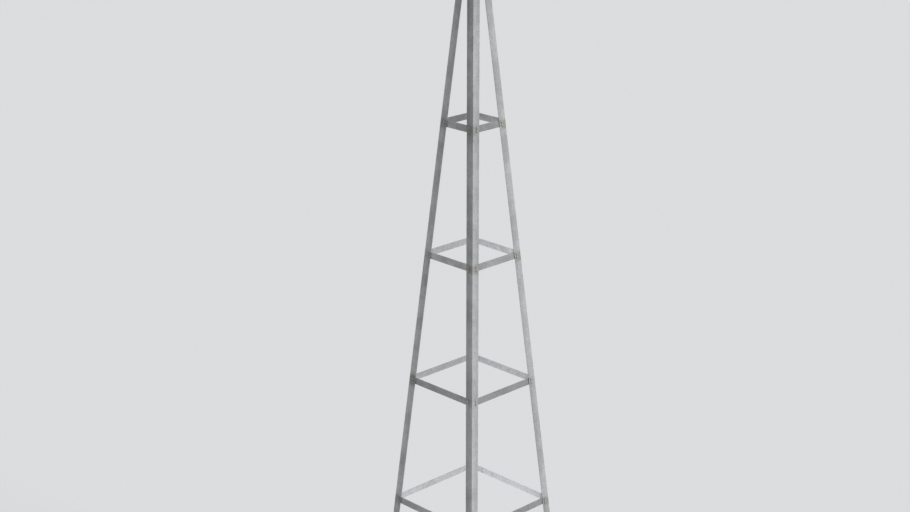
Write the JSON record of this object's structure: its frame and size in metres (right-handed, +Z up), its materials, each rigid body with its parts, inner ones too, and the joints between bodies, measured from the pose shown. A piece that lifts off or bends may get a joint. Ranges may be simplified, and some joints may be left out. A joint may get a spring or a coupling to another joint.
{
  "type": "windmill tower",
  "caption": "Square lattice tower of a farm windmill: leaning angle-iron posts tied by flat girts, on bolted foot plates, with a cast cap for the mast; weathered grey galvanised steel.",
  "frame": {"origin": "ground level at the centre of the tower's base", "axes": "+Z up the tower; X and Y square to its four faces, so the posts stand on the diagonals"},
  "size_m": [1.5538, 1.5538, 7.662],
  "materials": {
    "post_steel": "weathered galvanised, matt",
    "girt_steel": "weathered galvanised, matt",
    "foot_steel": "weathered galvanised, stained at the ground",
    "cap_iron": "galvanised casting, matt"
  },
  "bodies": {
    "root": {"foot_se": "foot_steel", "foot_ne": "foot_steel", "foot_nw": "foot_steel", "foot_sw": "foot_steel", "post_lower_se": "post_steel", "post_lower_ne": "post_steel", "post_lower_nw": "post_steel", "post_lower_sw": "post_steel", "splice_se": "post_steel", "splice_ne": "post_steel", "splice_nw": "post_steel", "splice_sw": "post_steel", "post_upper_se": "post_steel", "post_upper_ne": "post_steel", "post_upper_nw": "post_steel", "post_upper_sw": "post_steel", "girt_1_south": "girt_steel", "girt_1_east": "girt_steel", "girt_1_north": "girt_steel", "girt_1_west": "girt_steel", "girt_2_south": "girt_steel", "girt_2_east": "girt_steel", "girt_2_north": "girt_steel", "girt_2_west": "girt_steel", "girt_3_south": "girt_steel", "girt_3_east": "girt_steel", "girt_3_north": "girt_steel", "girt_3_west": "girt_steel", "girt_4_south": "girt_steel", "girt_4_east": "girt_steel", "girt_4_north": "girt_steel", "girt_4_west": "girt_steel", "girt_5_south": "girt_steel", "girt_5_east": "girt_steel", "girt_5_north": "girt_steel", "girt_5_west": "girt_steel", "girt_6_south": "girt_steel", "girt_6_east": "girt_steel", "girt_6_north": "girt_steel", "girt_6_west": "girt_steel", "cleat_south": "girt_steel", "cleat_east": "girt_steel", "cleat_north": "girt_steel", "cleat_west": "girt_steel", "tower_cap": "cap_iron"}
  },
  "joints": []
}
